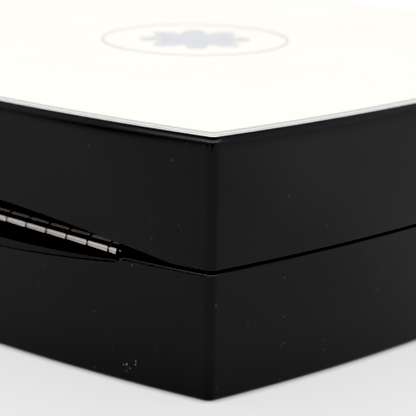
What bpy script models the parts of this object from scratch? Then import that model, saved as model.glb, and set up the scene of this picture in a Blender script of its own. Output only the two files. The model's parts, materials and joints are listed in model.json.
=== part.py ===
"""Square powder compact: bulging sides, hinged lid, push-button latch, mirror, powder pan and puff.

Lengths are written in millimetres and become metres where a mesh is made. The origin is the centre of
the underside, +Z is up, the latch is at the front (-Y) and the piano hinge is at the back (+Y).
"""

import math

import bmesh
import bpy
from mathutils import Matrix, Vector

MM = 0.001

# Case: plan, heights and edges.
CASE_HEIGHT = 23.0
SIDE_CHORD = 66.4
SIDE_BULGE = 3.38
CORNER_RADIUS = 1.0
PARTING_Z = 11.47
PARTING_GAP = 0.10
WALL = 2.0
RIM_ROUNDING = 0.25
FOOT_ROUNDING = 0.35
CAVITY_BACK_Y = 29.8
CAVITY_CORNER = 2.5
SIDE_STEPS = 10
CORNER_STEPS = 4
ROUNDING_STEPS = 3

SIDE_RADIUS = (SIDE_CHORD ** 2 / 4 + SIDE_BULGE ** 2) / (2 * SIDE_BULGE)
HALF_WIDTH = SIDE_CHORD / 2 + SIDE_BULGE
BASE_TOP = PARTING_Z - PARTING_GAP / 2
LID_BOTTOM = PARTING_Z + PARTING_GAP / 2

# Piano hinge: its axis lies in the parting plane, inside a V of two 45 degree bevels.
AXIS_Y = 34.21
KNUCKLE_RADIUS = 0.437
KNUCKLE_BORE = 0.25
PIN_RADIUS = 0.20
KNUCKLE_PITCH = 2.68
KNUCKLE_GAP = 0.08
HINGE_LEFT_X = -23.40
SHORT_KNUCKLE = 1.08
FULL_KNUCKLES = 17
HINGE_RIGHT_X = HINGE_LEFT_X + SHORT_KNUCKLE + FULL_KNUCKLES * KNUCKLE_PITCH
LEAF_INNER_Y = 30.7
LEAF_OUTER_Y = AXIS_Y - 0.56
ROLL_END_DEGREES = 205
RIVET_XS = {"left": -16.0, "middle": 0.0, "right": 16.0}
RIVET_Y = 32.1
RIVET_HOLE = 0.5
RIVET_LENGTH = 2.0
LEAF_RECESS = KNUCKLE_RADIUS + 0.05
BEVEL_HALF_LENGTH = 24.35
BASE_BEVEL_SLOPE = 0.82
BASE_BEVEL_LOW = (34.94, 10.77)
LID_BEVEL_SETBACK = 0.25

# Lid top: a polished trim round an ivory plate with a plain ring and a rosette.
TOP_RECESS_INSET = 0.18
TOP_RECESS_FLOOR = CASE_HEIGHT - 1.0
TRIM_INSET = 0.20
TRIM_WIDTH = 0.75
TRIM_TOP = CASE_HEIGHT + 0.13
PLATE_INSET = 1.0
PLATE_TOP = CASE_HEIGHT + 0.25
EMBLEM_RADIUS = 10.0
EMBLEM_LINE = 0.27
EMBLEM_THICKNESS = 0.04
ROSETTE_PETALS = 8

# Inside of the lid.
LID_CEILING = 20.8
MIRROR_Z = (18.3, 20.0)
MIRROR_FRAME_Z = (17.2, 18.2)

# Inside of the base, from the floor up.
BASE_FLOOR = 2.0
PAD_INSET = 6.0
PAD_DEPTH = 0.6
TRAY_INSET = 2.12
TRAY_TOP = 11.0
WELL_RADIUS = 27.6
WELL_FLOOR = 6.2
PAN_RADIUS = 27.3
PAN_TOP = 9.4
POWDER_TOP = 9.2
DIVIDER_Z = (9.5, 9.75)
PUFF_RADIUS = 25.4
PUFF_HALF_THICKNESS = 2.7
PUFF_CENTRE_Z = 12.65
RIBBON_HALF_WIDTH = 7.0
RIBBON_HALF_LENGTH = 24.3
RIBBON_THICKNESS = 0.35

# Latch: a sliding button whose frame passes round the lid's catch, pushed forward by two springs.
BUTTON_HALF_WIDTH = 6.1
BUTTON_Z = (6.25, 9.15)
BUTTON_PROUD = 0.3
BUTTON_CLEARANCE = 0.15
FLANGE_Y = (-34.25, -33.5)
SPRING_STOP_Y = (-29.5, -28.9)
SPRING_X = 5.9
SPRING_Z = 7.6
SPRING_RADIUS = 0.8
SPRING_WIRE = 0.15
SPRING_TURNS = 5


# Shapes

def plan_outline(inset, corner_radius=None):
    """The plan curve `inset` inside the case's faces: four arcs joined by round corners, anticlockwise."""
    side_radius = SIDE_RADIUS - inset
    if corner_radius is None:
        corner_radius = max(CORNER_RADIUS - inset, 0.3)
    centre_offset = SIDE_RADIUS - HALF_WIDTH
    reach = side_radius - corner_radius
    corner_centre = (math.sqrt(2 * reach ** 2 - centre_offset ** 2) - centre_offset) / 2
    side_half_angle = math.atan2(corner_centre, corner_centre + centre_offset)
    points = []
    for quarter in range(4):
        turn = Matrix.Rotation(quarter * math.pi / 2, 2)
        for step in range(SIDE_STEPS):
            angle = side_half_angle * (2 * step / SIDE_STEPS - 1)
            side = Vector((math.cos(angle), math.sin(angle))) * side_radius
            points.append(turn @ (side - Vector((centre_offset, 0))))
        for step in range(CORNER_STEPS):
            share = step / CORNER_STEPS
            angle = side_half_angle + share * (math.pi / 2 - 2 * side_half_angle)
            corner = Vector((math.cos(angle), math.sin(angle))) * corner_radius
            points.append(turn @ (corner + Vector((corner_centre, corner_centre))))
    return points


def level(inset, z, back=None, corner_radius=None):
    """The plan curve as a ring at height z, cut off flat at y = back where that is given."""
    points = plan_outline(inset, corner_radius)
    return [(p.x, p.y if back is None else min(p.y, back), z) for p in points]


def round_level(radius, z):
    """A circle at height z with as many points, at the same bearings, as a level of the case."""
    return [(*(p.normalized() * radius), z) for p in plan_outline(0.0)]


def foot_rings(z, rounding):
    """Rings that round a bottom edge, from the underside up to the full plan."""
    angles = [math.pi / 2 * step / ROUNDING_STEPS for step in range(ROUNDING_STEPS + 1)]
    return [level(rounding * (1 - math.sin(a)), z + rounding * (1 - math.cos(a))) for a in angles]


def brow_rings(z, rounding, land=None):
    """Rings that round a top edge, from the full plan up to height z, stopping where the inset reaches `land`."""
    last = math.pi / 2 if land is None else math.acos(1 - land / rounding)
    angles = [last * step / ROUNDING_STEPS for step in range(ROUNDING_STEPS + 1)]
    return [level(rounding * (1 - math.cos(a)), z - rounding * (math.sin(last) - math.sin(a))) for a in angles]


def circle_ring(radius, z, steps):
    """A circle of evenly spaced points at height z, about the Z axis."""
    angles = [2 * math.pi * step / steps for step in range(steps)]
    return [(radius * math.cos(a), radius * math.sin(a), z) for a in angles]


def skin(name, rings, endless=False):
    """An object whose skin joins each ring to the next, capped at both ends or closed on itself."""
    shape = bmesh.new()
    loops = [[shape.verts.new(Vector(point) * MM) for point in ring] for ring in rings]
    following = loops[1:] + loops[:1] if endless else loops[1:]
    for lower, upper in zip(loops, following):
        for i in range(len(lower)):
            j = (i + 1) % len(lower)
            shape.faces.new((lower[i], lower[j], upper[j], upper[i]))
    if not endless:
        shape.faces.new(loops[0])
        shape.faces.new(loops[-1])
    return object_of(name, shape)


def object_of(name, shape, sharp_degrees=35):
    """Turns a closed bmesh into a smooth-shaded object in the scene."""
    bmesh.ops.recalc_face_normals(shape, faces=shape.faces)
    mesh = bpy.data.meshes.new(name)
    shape.to_mesh(mesh)
    shape.free()
    mesh.shade_smooth()
    mesh.set_sharp_from_angle(angle=math.radians(sharp_degrees))
    piece = bpy.data.objects.new(name, mesh)
    bpy.context.scene.collection.objects.link(piece)
    return piece


def turned(name, profile, steps=48):
    """A piece turned about the Z axis from (radius, z) pairs, with flat ends."""
    return skin(name, [circle_ring(radius, z, steps) for radius, z in profile])


def block(name, low, high):
    """A box from its lowest to its highest corner."""
    corners = [(low[0], low[1]), (high[0], low[1]), (high[0], high[1]), (low[0], high[1])]
    return skin(name, [[(x, y, z) for x, y in corners] for z in (low[2], high[2])])


def prism(name, section, x_from, x_to):
    """A (y, z) section drawn out along X."""
    return skin(name, [[(x, y, z) for y, z in section] for x in (x_from, x_to)])


def rod(name, y, z, radius, x_from, x_to, steps=24):
    """A round bar along X."""
    angles = [2 * math.pi * step / steps for step in range(steps)]
    section = [(y + radius * math.cos(a), z + radius * math.sin(a)) for a in angles]
    return prism(name, section, x_from, x_to)


def merged(name, pieces):
    """One object that holds several separate closed shapes, for use in a Boolean."""
    shape = bmesh.new()
    for piece in pieces:
        shape.from_mesh(piece.data)
        bpy.data.objects.remove(piece)
    return object_of(name, shape)


def combine(piece, tool, operation):
    """Cuts the tool from the piece, or joins it on, with a Boolean modifier."""
    tool.hide_render = True
    tool.display_type = "WIRE"
    modifier = piece.modifiers.new(tool.name, "BOOLEAN")
    modifier.operation = operation
    modifier.solver = "EXACT"
    modifier.object = tool


def cut(piece, *tools):
    for tool in tools:
        combine(piece, tool, "DIFFERENCE")


def join(piece, *tools):
    for tool in tools:
        combine(piece, tool, "UNION")


# Materials

def paint(piece, colour, roughness, metallic=0.0, alpha=1.0):
    """Gives a piece its own Principled material."""
    material = bpy.data.materials.new(piece.name)
    material.use_nodes = True
    shader = material.node_tree.nodes["Principled BSDF"]
    shader.inputs["Base Color"].default_value = (*colour, 1.0)
    shader.inputs["Roughness"].default_value = roughness
    shader.inputs["Metallic"].default_value = metallic
    shader.inputs["Alpha"].default_value = alpha
    piece.data.materials.clear()
    piece.data.materials.append(material)
    return piece


def black_gloss(piece):
    return paint(piece, (0.012, 0.012, 0.013), 0.08)


def nickel(piece):
    return paint(piece, (0.78, 0.75, 0.72), 0.22, metallic=1.0)


# Case pieces

def base_bevel_cutter():
    """The wedge that clears the lid's back edge, rounded where its ends meet the rim."""
    end_rounding = 0.7
    high = CASE_HEIGHT / 2 + 3
    far = HALF_WIDTH + 4
    rings = []
    for side in (-1, 1):
        angles = [math.pi / 2 * step / ROUNDING_STEPS for step in range(ROUNDING_STEPS + 1)]
        for angle in angles if side < 0 else reversed(angles):
            x = side * (BEVEL_HALF_LENGTH - end_rounding * (1 - math.cos(angle)))
            lift = end_rounding * (1 - math.sin(angle))
            low_y, low_z = BASE_BEVEL_LOW
            rim_y = low_y - (high - low_z - lift) / BASE_BEVEL_SLOPE
            far_z = low_z + lift - BASE_BEVEL_SLOPE * (far - low_y)
            rings.append([(x, rim_y, high), (x, far, far_z), (x, far, high)])
    return skin("base_bevel_cutter", rings)


def lid_bevel_cutter():
    """The half-space below the lid's 45 degree back bevel."""
    low = PARTING_Z - 3
    high = PARTING_Z + 9
    slope = PARTING_Z - AXIS_Y + LID_BEVEL_SETBACK * math.sqrt(2)
    section = [(low - slope, low), (high - slope, low), (high - slope, high)]
    return prism("lid_bevel_cutter", section, -HALF_WIDTH, HALF_WIDTH)


def leaf_recess_cutter(name, z_from, z_to):
    low = (HINGE_LEFT_X - 0.3, LEAF_INNER_Y - 0.15, z_from)
    high = (HINGE_RIGHT_X + 0.3, AXIS_Y + 0.1, z_to)
    return block(name, low, high)


def rivet_hole_cutters(name, z_from, z_to):
    holes = []
    for side, x in RIVET_XS.items():
        hole = turned(f"{name}_{side}", [(RIVET_HOLE, z_from), (RIVET_HOLE, z_to)], steps=14)
        hole.data.transform(Matrix.Translation(Vector((x, RIVET_Y, 0)) * MM))
        holes.append(hole)
    return merged(name, holes)


def base_shell():
    rings = [level(PAD_INSET, PAD_DEPTH, corner_radius=4.0), level(PAD_INSET, 0.0, corner_radius=4.0)]
    rings += foot_rings(0.0, FOOT_ROUNDING)
    rings += brow_rings(BASE_TOP, RIM_ROUNDING)
    rings += [level(WALL, z, CAVITY_BACK_Y, CAVITY_CORNER) for z in (BASE_TOP, BASE_FLOOR)]
    shell = skin("base_shell", rings)
    groove = rod("barrel_groove_cutter", AXIS_Y + 0.24, PARTING_Z - 0.35, 0.85, -21.5, 21.5)
    clearance = rod("barrel_clearance_cutter", AXIS_Y, PARTING_Z, 0.52, -24.1, 24.1)
    recess = leaf_recess_cutter("base_leaf_recess_cutter", PARTING_Z - LEAF_RECESS, PARTING_Z + 2)
    holes = rivet_hole_cutters("base_rivet_hole_cutter", PARTING_Z - 2.6, PARTING_Z + 1)
    window = button_block("button_window_cutter", -HALF_WIDTH - 3, -HALF_WIDTH + 4, BUTTON_CLEARANCE)
    stop = block(
        "spring_stop",
        (-8.0, SPRING_STOP_Y[0], BASE_FLOOR - 0.5),
        (8.0, SPRING_STOP_Y[1], BUTTON_Z[1] + 0.45),
    )
    join(shell, stop)
    cut(shell, base_bevel_cutter(), groove, clearance, recess, holes, window)
    return black_gloss(shell)


def lid_shell():
    rings = [level(WALL, z, CAVITY_BACK_Y, CAVITY_CORNER) for z in (LID_CEILING, LID_BOTTOM)]
    rings += foot_rings(LID_BOTTOM, RIM_ROUNDING)
    rings += brow_rings(CASE_HEIGHT, RIM_ROUNDING, TOP_RECESS_INSET - 0.01)
    rings += [level(TOP_RECESS_INSET, z) for z in (CASE_HEIGHT, TOP_RECESS_FLOOR)]
    shell = skin("lid_shell", rings)
    groove = rod("lid_groove_cutter", AXIS_Y, PARTING_Z, 0.6, -24.0, 24.0)
    recess = leaf_recess_cutter("lid_leaf_recess_cutter", PARTING_Z - 2, PARTING_Z + LEAF_RECESS)
    holes = rivet_hole_cutters("lid_rivet_hole_cutter", PARTING_Z - 1, PARTING_Z + 2.6)
    cut(shell, lid_bevel_cutter(), groove, recess, holes)
    return black_gloss(shell)


def base_pad():
    rings = [level(PAD_INSET + 0.15, z, corner_radius=3.9) for z in (0.0, PAD_DEPTH - 0.1)]
    return paint(skin("base_pad", rings), (0.02, 0.02, 0.02), 0.8)


def weight_plate():
    rings = [level(9.0, z, 24.0, 3.0) for z in (BASE_FLOOR + 0.1, BASE_FLOOR + 2.6)]
    return paint(skin("weight_plate", rings), (0.45, 0.45, 0.46), 0.4, metallic=1.0)


def inner_tray():
    """Moulding with a round well, on a skirt that stands on the floor and is notched for the latch."""
    back = CAVITY_BACK_Y - 0.12
    wall = 1.0
    skirt = 3.1
    rings = [
        round_level(WELL_RADIUS, WELL_FLOOR),
        round_level(WELL_RADIUS, TRAY_TOP - 0.4),
        round_level(WELL_RADIUS + 0.4, TRAY_TOP),
        level(TRAY_INSET, TRAY_TOP, back, CAVITY_CORNER),
        level(TRAY_INSET, BASE_FLOOR + 0.1, back, CAVITY_CORNER),
        level(skirt, BASE_FLOOR + 0.1, back - 0.4, CAVITY_CORNER),
        level(skirt, TRAY_TOP - wall, back - 0.4, CAVITY_CORNER),
        round_level(WELL_RADIUS + wall, TRAY_TOP - wall),
        round_level(WELL_RADIUS + wall, WELL_FLOOR - wall),
    ]
    tray = skin("inner_tray", rings)
    notch_back = SPRING_STOP_Y[1] + 0.15
    notch = block("latch_notch_cutter", (-8.6, -40.0, 1.0), (8.6, notch_back, TRAY_TOP - 1.1))
    slot = block("catch_slot_cutter", (-3.1, -33.0, TRAY_TOP - 1.5), (3.1, -30.9, TRAY_TOP + 1))
    cut(tray, notch, slot)
    return black_gloss(tray)


def powder_pan():
    wall = 0.35
    floor = WELL_FLOOR + 0.1
    profile = [
        (PAN_RADIUS - 0.4, floor),
        (PAN_RADIUS, floor + 0.4),
        (PAN_RADIUS, PAN_TOP),
        (PAN_RADIUS - wall, PAN_TOP),
        (PAN_RADIUS - wall, floor + wall + 0.3),
        (PAN_RADIUS - wall - 0.3, floor + wall),
    ]
    return paint(turned("powder_pan", profile), (0.72, 0.72, 0.73), 0.3, metallic=1.0)


def pressed_powder():
    radius = PAN_RADIUS - 0.45
    floor = WELL_FLOOR + 0.55
    profile = [
        (radius - 0.4, floor),
        (radius, floor + 0.4),
        (radius, POWDER_TOP - 0.3),
        (radius - 0.5, POWDER_TOP),
    ]
    return paint(turned("pressed_powder", profile), (0.80, 0.56, 0.40), 0.9)


def powder_divider():
    divider = turned("powder_divider", [(PAN_RADIUS - 0.9, z) for z in DIVIDER_Z])
    return paint(divider, (0.9, 0.9, 0.9), 0.05, alpha=0.35)


def puff_height(radius):
    """How far the puff's skin stands above its middle plane."""
    return PUFF_HALF_THICKNESS * math.sqrt(1 - (radius / PUFF_RADIUS) ** 4)


def puff():
    """A low cushion: rounded at its rim, nearly flat above and below."""
    profile = []
    for step in range(1, 10):
        angle = math.pi * step / 10
        radius = PUFF_RADIUS * math.sin(angle) ** 0.6
        profile.append((radius, PUFF_CENTRE_Z - math.copysign(puff_height(radius), math.cos(angle))))
    return paint(turned("puff", profile, steps=36), (0.86, 0.78, 0.66), 0.95)


def puff_ribbon():
    """A band sewn across the puff, following its crown a little above it."""
    steps = 16
    clearance = 0.15
    half_width = RIBBON_HALF_WIDTH
    rings = []
    for step in range(steps + 1):
        y = RIBBON_HALF_LENGTH * (2 * step / steps - 1)
        low = PUFF_CENTRE_Z + puff_height(abs(y)) + clearance
        high = low + RIBBON_THICKNESS
        corners = [(-half_width, low), (half_width, low), (half_width, high), (-half_width, high)]
        rings.append([(x, y, z) for x, z in corners])
    return paint(skin("puff_ribbon", rings), (0.03, 0.03, 0.03), 0.6)


# Hinge pieces

def knuckle_section():
    """A (y, z) section about the hinge axis: sheet coming in from -Y below the pin and rolled round it."""
    tuck = 0.01
    steps = 16
    angles = [math.radians(-90 + (ROLL_END_DEGREES + 90) * step / steps) for step in range(steps + 1)]
    outer = [(KNUCKLE_RADIUS * math.cos(a), KNUCKLE_RADIUS * math.sin(a)) for a in angles]
    inner = [(KNUCKLE_BORE * math.cos(a), KNUCKLE_BORE * math.sin(a)) for a in reversed(angles)]
    tail_y = LEAF_OUTER_Y - AXIS_Y - 0.5
    tail = [(tail_y, -KNUCKLE_BORE - tuck), (tail_y, -KNUCKLE_RADIUS + tuck), (0.0, -KNUCKLE_RADIUS + tuck)]
    return outer[1:] + inner[:-1] + [(0.0, -KNUCKLE_BORE - tuck)] + tail


def knuckle_spans(first):
    """The X spans of every second knuckle, starting from the first or from the one after it."""
    first_full = HINGE_LEFT_X + SHORT_KNUCKLE
    edges = [HINGE_LEFT_X] + [first_full + k * KNUCKLE_PITCH for k in range(FULL_KNUCKLES + 1)]
    spans = list(zip(edges, edges[1:]))[first::2]
    return [(left + KNUCKLE_GAP / 2, right - KNUCKLE_GAP / 2) for left, right in spans]


def hinge_leaf(name, first, flip):
    """A riveted leaf with its rolled knuckles; flip is 1 for the base's leaf, -1 for the lid's."""
    section = [(AXIS_Y + y, PARTING_Z + flip * z) for y, z in knuckle_section()]
    knuckles = [prism(f"{name}_knuckle", section, *span) for span in knuckle_spans(first)]
    z_pair = sorted(PARTING_Z - flip * z for z in (KNUCKLE_RADIUS, KNUCKLE_BORE))
    low = (HINGE_LEFT_X + 0.1, LEAF_INNER_Y, z_pair[0])
    high = (HINGE_RIGHT_X - 0.1, LEAF_OUTER_Y, z_pair[1])
    leaf = block(name, low, high)
    join(leaf, merged(f"{name}_knuckles", knuckles))
    cut(leaf, rivet_hole_cutters(f"{name}_hole_cutter", PARTING_Z - 2, PARTING_Z + 2))
    return nickel(leaf)


def hinge_pin():
    """The pin, with a low dome peened on each end."""
    end = 0.10
    left = HINGE_LEFT_X - end
    right = HINGE_RIGHT_X + end
    dome = [(0.12, -0.16), (0.24, -0.10), (0.32, 0.0), (PIN_RADIUS, 0.001)]
    profile = [(r, left + z) for r, z in dome] + [(r, right - z) for r, z in reversed(dome)]
    pin = turned("hinge_pin", profile, steps=14)
    pin.rotation_euler = (0.0, math.pi / 2, 0.0)
    pin.location = Vector((0.0, AXIS_Y, PARTING_Z)) * MM
    return nickel(pin)


def rivet_mesh_piece(name):
    """A rivet along Z, its head's underside at the origin and its shank below."""
    shank = RIVET_HOLE - 0.08
    head = 0.75
    profile = [(shank, -RIVET_LENGTH), (shank, 0.0), (head, 0.001), (head, 0.06), (head - 0.25, 0.13)]
    return nickel(turned(name, profile, steps=14))


def hinge_rivets(body, flip):
    """Three rivets through a leaf; the lid's point upwards."""
    first = None
    rivets = []
    for side, x in RIVET_XS.items():
        name = f"{body}_rivet_{side}"
        if first is None:
            first = rivet_mesh_piece(name)
            rivet = first
        else:
            rivet = bpy.data.objects.new(name, first.data)
            bpy.context.scene.collection.objects.link(rivet)
        rivet.location = Vector((x, RIVET_Y, PARTING_Z - flip * (KNUCKLE_BORE - 0.02))) * MM
        rivet.rotation_euler = (0.0 if flip > 0 else math.pi, 0.0, 0.0)
        rivets.append(rivet)
    return rivets


# Latch pieces

def button_block(name, y_from, y_to, grow=0.0):
    """A bar with rounded ends in the shape of the button's face, drawn along Y."""
    half_width = BUTTON_HALF_WIDTH + grow
    half_height = (BUTTON_Z[1] - BUTTON_Z[0]) / 2 + grow
    middle_z = (BUTTON_Z[1] + BUTTON_Z[0]) / 2
    corner = 0.9 + grow
    section = []
    for quarter in range(4):
        centre_x = (half_width - corner) * (1 if quarter in (0, 3) else -1)
        centre_z = (half_height - corner) * (1 if quarter in (0, 1) else -1)
        for step in range(5):
            angle = math.pi / 2 * (quarter + step / 4)
            x = centre_x + corner * math.cos(angle)
            z = middle_z + centre_z + corner * math.sin(angle)
            section.append((x, z))
    return skin(name, [[(x, y, z) for x, z in section] for y in (y_from, y_to)])


def latch_button():
    """The push button, its retaining flange, its sliding frame and the pegs that hold the springs."""
    button = button_block("latch_button", -HALF_WIDTH - BUTTON_PROUD, FLANGE_Y[0] + 0.2)
    flange = block("button_flange", (-7.2, FLANGE_Y[0], 5.5), (7.2, FLANGE_Y[1], 9.75))
    bar = block("button_bar", (-4.4, -31.2, 8.55), (4.4, -30.5, 9.25))
    arms = []
    pegs = []
    for side in (-1, 1):
        arm_x = side * 4.0
        arms.append(block("button_arm", (arm_x - 0.6, FLANGE_Y[1] - 0.2, 8.5), (arm_x + 0.6, -30.7, 9.3)))
        peg = turned("button_peg", [(0.45, 0.0), (0.45, 1.0)], steps=16)
        place = Matrix.Translation(Vector((side * SPRING_X, FLANGE_Y[1] - 0.2, SPRING_Z)) * MM)
        peg.data.transform(place @ Matrix.Rotation(-math.pi / 2, 4, "X"))
        pegs.append(peg)
    join(button, flange, merged("button_arms", arms + pegs), bar)
    return nickel(button)


def latch_spring(name, side):
    """A coil spring along Y, swept from a round wire."""
    start_y = FLANGE_Y[1] + SPRING_WIRE + 0.05
    length = SPRING_STOP_Y[0] - FLANGE_Y[1] - 2 * SPRING_WIRE - 0.1
    steps = SPRING_TURNS * 10
    wire_steps = 5
    rings = []
    for step in range(steps + 1):
        angle = 2 * math.pi * SPRING_TURNS * step / steps
        outward = Vector((math.cos(angle), 0.0, math.sin(angle)))
        centre = outward * SPRING_RADIUS + Vector((0.0, length * step / steps, 0.0))
        ring = []
        for k in range(wire_steps):
            bearing = 2 * math.pi * k / wire_steps
            offset = outward * math.cos(bearing) + Vector((0.0, math.sin(bearing), 0.0))
            ring.append(centre + offset * SPRING_WIRE)
        rings.append(ring)
    spring = skin(name, rings)
    spring.location = Vector((side * SPRING_X, start_y, SPRING_Z)) * MM
    return paint(spring, (0.6, 0.6, 0.6), 0.3, metallic=1.0)


def lid_catch():
    """A stepped bracket: plate on the lid's wall, arm, tongue down into the base, nose under the bar."""
    section = [
        (-34.25, 16.0), (-34.25, 12.3), (-32.5, 12.3), (-32.5, 7.4), (-31.6, 7.4), (-31.35, 7.65),
        (-31.35, 8.0), (-31.6, 8.2), (-31.9, 8.2), (-31.9, 13.1), (-33.5, 13.1), (-33.5, 16.0),
    ]
    return nickel(prism("lid_catch", section, -2.6, 2.6))


# Lid pieces

def top_trim():
    """A polished ring whose upper edges are rounded."""
    outer = TRIM_INSET
    inner = TRIM_INSET + TRIM_WIDTH
    rounding = 0.1
    low = TOP_RECESS_FLOOR + 0.05
    rings = [
        level(inner, low),
        level(outer, low),
        level(outer, TRIM_TOP - rounding),
        level(outer + 0.3 * rounding, TRIM_TOP - 0.3 * rounding),
        level(outer + rounding, TRIM_TOP),
        level(inner - rounding, TRIM_TOP),
        level(inner, TRIM_TOP - rounding),
    ]
    return paint(skin("top_trim", rings, endless=True), (0.86, 0.87, 0.88), 0.12, metallic=1.0)


def top_plate():
    rounding = 0.15
    corner = 0.9
    rings = [
        level(PLATE_INSET, TOP_RECESS_FLOOR + 0.05, corner_radius=corner),
        level(PLATE_INSET, PLATE_TOP - rounding, corner_radius=corner),
        level(PLATE_INSET + 0.3 * rounding, PLATE_TOP - 0.3 * rounding, corner_radius=corner),
        level(PLATE_INSET + rounding, PLATE_TOP, corner_radius=corner),
    ]
    return paint(skin("top_plate", rings), (0.95, 0.92, 0.84), 0.15)


def emblem_ring():
    low = PLATE_TOP + 0.01
    high = low + EMBLEM_THICKNESS
    outer = EMBLEM_RADIUS + EMBLEM_LINE / 2
    inner = EMBLEM_RADIUS - EMBLEM_LINE / 2
    rings = [circle_ring(r, z, 60) for r, z in ((inner, low), (outer, low), (outer, high), (inner, high))]
    return paint(skin("emblem_ring", rings, endless=True), (0.45, 0.47, 0.50), 0.3, metallic=1.0)


def emblem_rosette():
    """A plain flower of rounded petals on a round centre."""
    low = PLATE_TOP + 0.01
    steps = ROSETTE_PETALS * 10
    rings = []
    for z in (low, low + EMBLEM_THICKNESS):
        ring = []
        for step in range(steps):
            angle = 2 * math.pi * step / steps
            radius = 2.4 + 3.6 * abs(math.cos(ROSETTE_PETALS * angle / 2)) ** 0.7
            ring.append((radius * math.cos(angle), radius * math.sin(angle), z))
        rings.append(ring)
    return paint(skin("emblem_rosette", rings), (0.45, 0.47, 0.50), 0.3, metallic=1.0)


def mirror_tape():
    rings = [level(8.0, z, 24.0, 2.0) for z in (MIRROR_Z[1] + 0.1, LID_CEILING - 0.1)]
    return paint(skin("mirror_tape", rings), (0.8, 0.8, 0.78), 0.9)


def mirror():
    rings = [level(3.2, z, 28.6, 2.0) for z in MIRROR_Z]
    return paint(skin("mirror", rings), (0.9, 0.9, 0.9), 0.02, metallic=1.0)


def mirror_frame():
    low, high = MIRROR_FRAME_Z
    outer = [level(WALL + 0.15, z, CAVITY_BACK_Y - 0.15, CAVITY_CORNER) for z in (high, low)]
    inner = [level(4.4, low, 27.4, 1.8), level(5.0, high, 26.8, 1.5)]
    return black_gloss(skin("mirror_frame", outer + inner, endless=True))


# Assembly

def clear_scene():
    for piece in list(bpy.context.scene.objects):
        bpy.data.objects.remove(piece)


def pivot(name, point, pieces):
    """An empty on a joint's axis that carries the pieces moving about it."""
    carrier = bpy.data.objects.new(name, None)
    bpy.context.scene.collection.objects.link(carrier)
    carrier.location = Vector(point) * MM
    for piece in pieces:
        piece.parent = carrier
        piece.matrix_parent_inverse = Matrix.Translation(-carrier.location)


def build():
    clear_scene()
    base_shell()
    base_pad()
    weight_plate()
    inner_tray()
    powder_pan()
    pressed_powder()
    powder_divider()
    puff()
    puff_ribbon()
    hinge_leaf("hinge_leaf_base", 0, 1)
    hinge_pin()
    hinge_rivets("base", 1)
    latch_spring("latch_spring_left", -1)
    latch_spring("latch_spring_right", 1)
    pivot("latch_slide", (0.0, -HALF_WIDTH, (BUTTON_Z[0] + BUTTON_Z[1]) / 2), [latch_button()])
    lid_pieces = [
        lid_shell(),
        top_trim(),
        top_plate(),
        emblem_ring(),
        emblem_rosette(),
        mirror_tape(),
        mirror(),
        mirror_frame(),
        lid_catch(),
        hinge_leaf("hinge_leaf_lid", 1, -1),
        *hinge_rivets("lid", -1),
    ]
    pivot("lid_pivot", (0.0, AXIS_Y, PARTING_Z), lid_pieces)


build()
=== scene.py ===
"""Looks of the square powder compact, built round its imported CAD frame.

Lengths are in metres. Places come from the frame's boxes and joints; MM turns millimetres into metres.
"""
import json
import math

import bmesh
import bpy
from mathutils import Matrix, Vector


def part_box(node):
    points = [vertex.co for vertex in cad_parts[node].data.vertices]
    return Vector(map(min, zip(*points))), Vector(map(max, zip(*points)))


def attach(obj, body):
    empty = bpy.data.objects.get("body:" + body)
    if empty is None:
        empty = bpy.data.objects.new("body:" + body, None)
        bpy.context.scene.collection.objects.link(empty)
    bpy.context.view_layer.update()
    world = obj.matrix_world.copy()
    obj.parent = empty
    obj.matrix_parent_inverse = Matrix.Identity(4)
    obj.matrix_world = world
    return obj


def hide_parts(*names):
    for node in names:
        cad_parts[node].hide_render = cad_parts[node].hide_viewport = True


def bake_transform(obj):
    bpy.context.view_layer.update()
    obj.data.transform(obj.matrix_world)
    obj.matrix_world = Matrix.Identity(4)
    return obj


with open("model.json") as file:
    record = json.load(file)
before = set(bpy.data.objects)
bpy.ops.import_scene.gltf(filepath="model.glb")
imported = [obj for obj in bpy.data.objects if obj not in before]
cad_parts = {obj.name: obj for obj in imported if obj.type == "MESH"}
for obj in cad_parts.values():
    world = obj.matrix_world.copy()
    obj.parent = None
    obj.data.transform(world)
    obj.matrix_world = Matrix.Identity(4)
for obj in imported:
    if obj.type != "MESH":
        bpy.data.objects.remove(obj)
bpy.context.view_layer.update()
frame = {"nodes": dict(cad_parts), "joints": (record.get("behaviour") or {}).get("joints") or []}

MM = 0.001
BULGE_SHARE = 3.38 / 36.58
CORNER_RADIUS = 1.0 * MM
SIDE_STEPS = 48
CORNER_STEPS = 16
EDGE_STEPS = 8
LEAST_CORNER = 0.3 * MM

# Places read from the frame.
NODES = frame["nodes"]
BASE_LOW, BASE_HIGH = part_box("base_shell")
LID_LOW, LID_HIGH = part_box("lid_shell")
HINGE = next(joint for joint in frame["joints"] if joint["name"] == "lid_hinge")
AXIS = Vector(HINGE["pos_m"])
PARTING_Z = AXIS.z
CASE_HEIGHT = LID_HIGH.z
HALF_WIDTH = BASE_HIGH.x
BULGE = BULGE_SHARE * HALF_WIDTH
SIDE_CHORD = 2 * (HALF_WIDTH - BULGE)
SIDE_RADIUS = (SIDE_CHORD ** 2 / 4 + BULGE ** 2) / (2 * BULGE)


# Shapes

def full_turn(steps):
    return [2 * math.pi * step / steps for step in range(steps)]


def rounded_edge(radius, steps=EDGE_STEPS):
    """(inset, rise) pairs round an edge, from one face to the other."""
    angles = [math.pi / 2 * step / steps for step in range(steps + 1)]
    return [(radius * (1 - math.sin(a)), radius * (1 - math.cos(a))) for a in angles]


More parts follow.
